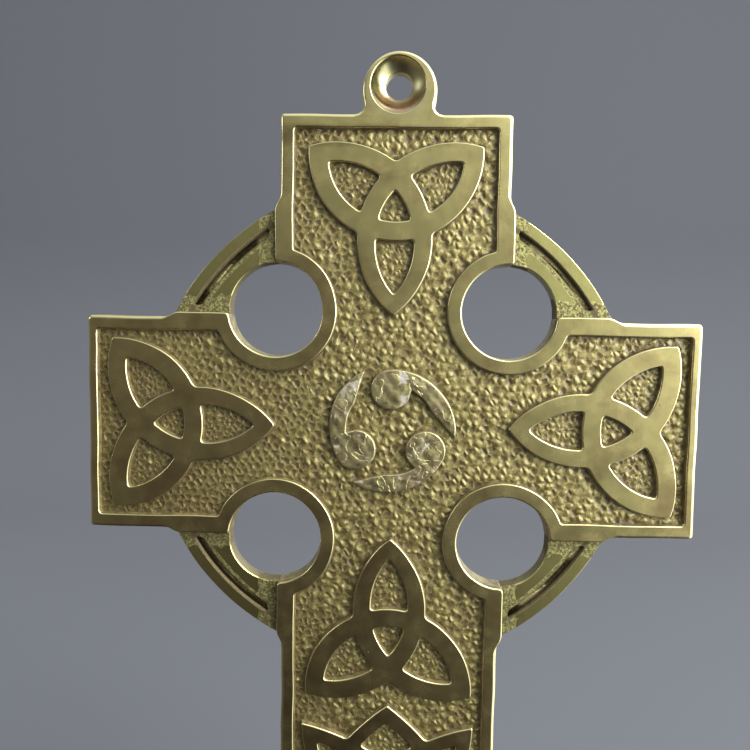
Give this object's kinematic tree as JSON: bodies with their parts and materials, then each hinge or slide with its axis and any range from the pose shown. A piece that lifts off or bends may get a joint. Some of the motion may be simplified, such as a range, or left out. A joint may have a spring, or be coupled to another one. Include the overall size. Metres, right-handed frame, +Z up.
{
  "type": "ringed wall cross",
  "caption": "Cast brass ringed cross with pebbled ground, raised border and knots in relief, and a countersunk hanging eye at the top.",
  "frame": {"origin": "on the axis of the hanging hole, where the hole leaves the flat back", "axes": "+Z up, +X to the viewer's right, -Y out of the front face; the back lies on the plane y = 0"},
  "size_m": [0.1256, 0.005, 0.2268],
  "materials": {
    "cast_ground": "as-cast pebbled ground, darker in the pits",
    "cast_ring": "cast, lightly rubbed, grainy towards the arms",
    "polished_border": "linished flat and polished, with fine scratches and worn bright edges",
    "polished_eye": "polished, browned in the dish",
    "polished_knot": "polished flat tops with bright edges",
    "burnished_whirl": "domed and glossy, creased"
  },
  "bodies": {
    "root": {"cross_plate": "cast_ground", "ring_upper_left": "cast_ring", "ring_upper_right": "cast_ring", "ring_lower_left": "cast_ring", "ring_lower_right": "cast_ring", "rim_upper_arm": "polished_border", "rim_left_arm": "polished_border", "rim_right_arm": "polished_border", "rim_shaft": "polished_border", "collar_upper_left": "polished_border", "collar_upper_right": "polished_border", "collar_lower_left": "polished_border", "collar_lower_right": "polished_border", "hanging_eye": "polished_eye", "knot_upper_arm": "polished_knot", "knot_left_arm": "polished_knot", "knot_right_arm": "polished_knot", "knot_shaft": "polished_knot", "square_knot": "polished_knot", "knot_foot": "polished_knot", "comma_upper": "burnished_whirl", "comma_left": "burnished_whirl", "comma_right": "burnished_whirl"}
  },
  "joints": []
}
